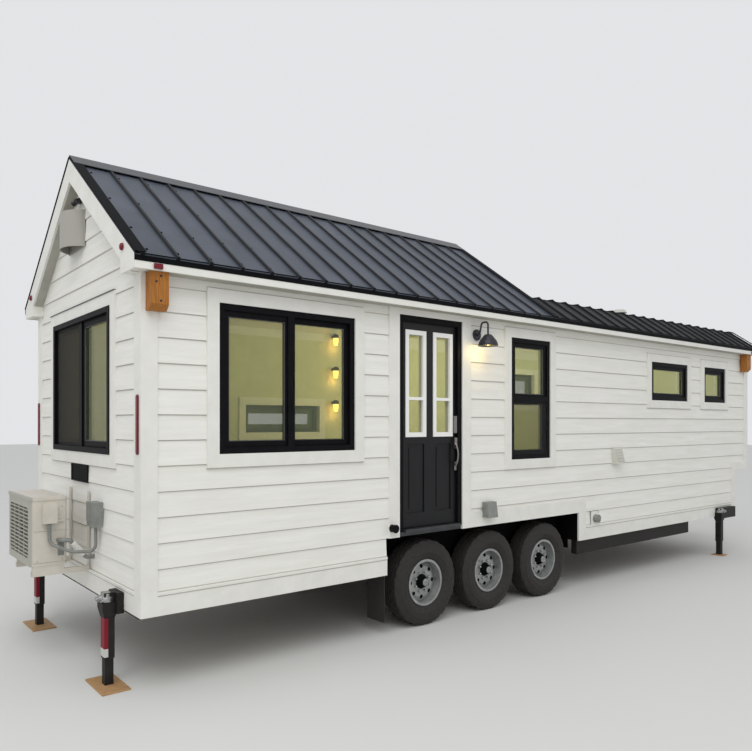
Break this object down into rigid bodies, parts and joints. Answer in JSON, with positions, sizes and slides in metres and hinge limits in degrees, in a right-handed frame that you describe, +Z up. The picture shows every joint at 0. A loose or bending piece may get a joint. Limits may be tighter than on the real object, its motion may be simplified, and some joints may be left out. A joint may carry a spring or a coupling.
{
  "type": "tiny house on a trailer",
  "caption": "White lap-sided tiny house on a road trailer, with a steep metal roof stepping down to a low one, an entry door, windows, wheels and stabiliser jacks.",
  "frame": {"origin": "on the ground, under the middle of the whole object's box", "axes": "+X from the rear gable towards the hitch, the entry door faces -Y, +Z up"},
  "size_m": [11.14, 2.994, 4.1575],
  "materials": {
    "chassis": "satin",
    "door_hardware": "satin",
    "door_light_frame": "satin",
    "door_paint": "satin",
    "floor": "lacquered",
    "glass": "clear",
    "jack_steel": "satin",
    "lamp": "satin",
    "rim": "satin",
    "roof_metal": "satin",
    "rubber": "matt",
    "service_grey": "matt",
    "siding": "painted",
    "threshold": "mill",
    "timber": "oiled",
    "tyre": "matt",
    "unit_bracket": "satin",
    "unit_case": "satin",
    "vent_white": "matt",
    "white_trim": "painted",
    "window_frame": "satin"
  },
  "bodies": {
    "house": {"axles": "chassis", "back_wall": "siding", "bump_out_floor": "floor", "condenser": "unit_case", "condenser_bracket": "unit_bracket", "corner_boards": "white_trim", "crossmembers": "chassis", "door_frame": "door_paint", "door_header": "siding", "door_threshold": "threshold", "door_wall_far": "siding", "door_wall_near": "siding", "eave_brackets": "timber", "fascia_boards": "white_trim", "floor_deck": "floor", "front_wall": "siding", "gable_wall": "siding", "hitch_coupler": "chassis", "jack_tubes": "chassis", "leaf_springs": "chassis", "line_set": "service_grey", "low_metal": "roof_metal", "low_roof": "white_trim", "lower_front_wall": "siding", "main_rails": "chassis", "mud_flaps": "rubber", "rake_boards": "white_trim", "ridge_cap": "roof_metal", "roof_step_wall": "siding", "service_boxes": "service_grey", "skirt_boards": "white_trim", "steep_metal": "roof_metal", "steep_roof_back_side": "white_trim", "steep_roof_door_side": "white_trim", "tongue_bars": "chassis", "vents": "vent_white", "wall_lamp": "lamp", "window_casings": "white_trim", "window_frames": "window_frame", "window_panes": "glass"},
    "entry_door": {"door_leaf": "door_paint", "door_light_frames": "door_light_frame", "door_panes": "glass", "door_handles": "door_hardware"},
    "wheel_rear_door": {"tyre_rear_door": "tyre", "rim_rear_door": "rim"},
    "wheel_rear_back": {"tyre_rear_back": "tyre", "rim_rear_back": "rim"},
    "wheel_middle_door": {"tyre_middle_door": "tyre", "rim_middle_door": "rim"},
    "wheel_middle_back": {"tyre_middle_back": "tyre", "rim_middle_back": "rim"},
    "wheel_front_door": {"tyre_front_door": "tyre", "rim_front_door": "rim"},
    "wheel_front_back": {"tyre_front_back": "tyre", "rim_front_back": "rim"},
    "jack_rear_door": {"jack_leg_rear_door": "jack_steel"},
    "jack_rear_back": {"jack_leg_rear_back": "jack_steel"},
    "jack_front_door": {"jack_leg_front_door": "jack_steel"},
    "jack_front_back": {"jack_leg_front_back": "jack_steel"}
  },
  "joints": [
    {"name": "entry_door_swing", "type": "hinge", "parent": "house", "child": "entry_door", "pos_m": [-2.6065, -1.18, 0.92], "axis": [0, 0, 1], "range_deg": [0, 90]},
    {"name": "wheel_rear_door_spin", "type": "hinge", "parent": "house", "child": "wheel_rear_door", "pos_m": [-2.245, -1.1145, 0.4025], "axis": [0, 1, 0], "continuous": true},
    {"name": "wheel_rear_back_spin", "type": "hinge", "parent": "house", "child": "wheel_rear_back", "pos_m": [-2.245, 1.2005, 0.4025], "axis": [0, 1, 0], "continuous": true},
    {"name": "wheel_middle_door_spin", "type": "hinge", "parent": "house", "child": "wheel_middle_door", "pos_m": [-1.325, -1.1145, 0.4025], "axis": [0, 1, 0], "continuous": true},
    {"name": "wheel_middle_back_spin", "type": "hinge", "parent": "house", "child": "wheel_middle_back", "pos_m": [-1.325, 1.2005, 0.4025], "axis": [0, 1, 0], "continuous": true},
    {"name": "wheel_front_door_spin", "type": "hinge", "parent": "house", "child": "wheel_front_door", "pos_m": [-0.405, -1.1145, 0.4025], "axis": [0, 1, 0], "continuous": true},
    {"name": "wheel_front_back_spin", "type": "hinge", "parent": "house", "child": "wheel_front_back", "pos_m": [-0.405, 1.2005, 0.4025], "axis": [0, 1, 0], "continuous": true},
    {"name": "jack_rear_door_lift", "type": "slide", "parent": "house", "child": "jack_rear_door", "axis": [0, 0, 1], "range_m": [0, 0.18]},
    {"name": "jack_rear_back_lift", "type": "slide", "parent": "house", "child": "jack_rear_back", "axis": [0, 0, 1], "range_m": [0, 0.18]},
    {"name": "jack_front_door_lift", "type": "slide", "parent": "house", "child": "jack_front_door", "axis": [0, 0, 1], "range_m": [0, 0.18]},
    {"name": "jack_front_back_lift", "type": "slide", "parent": "house", "child": "jack_front_back", "axis": [0, 0, 1], "range_m": [0, 0.18]}
  ]
}
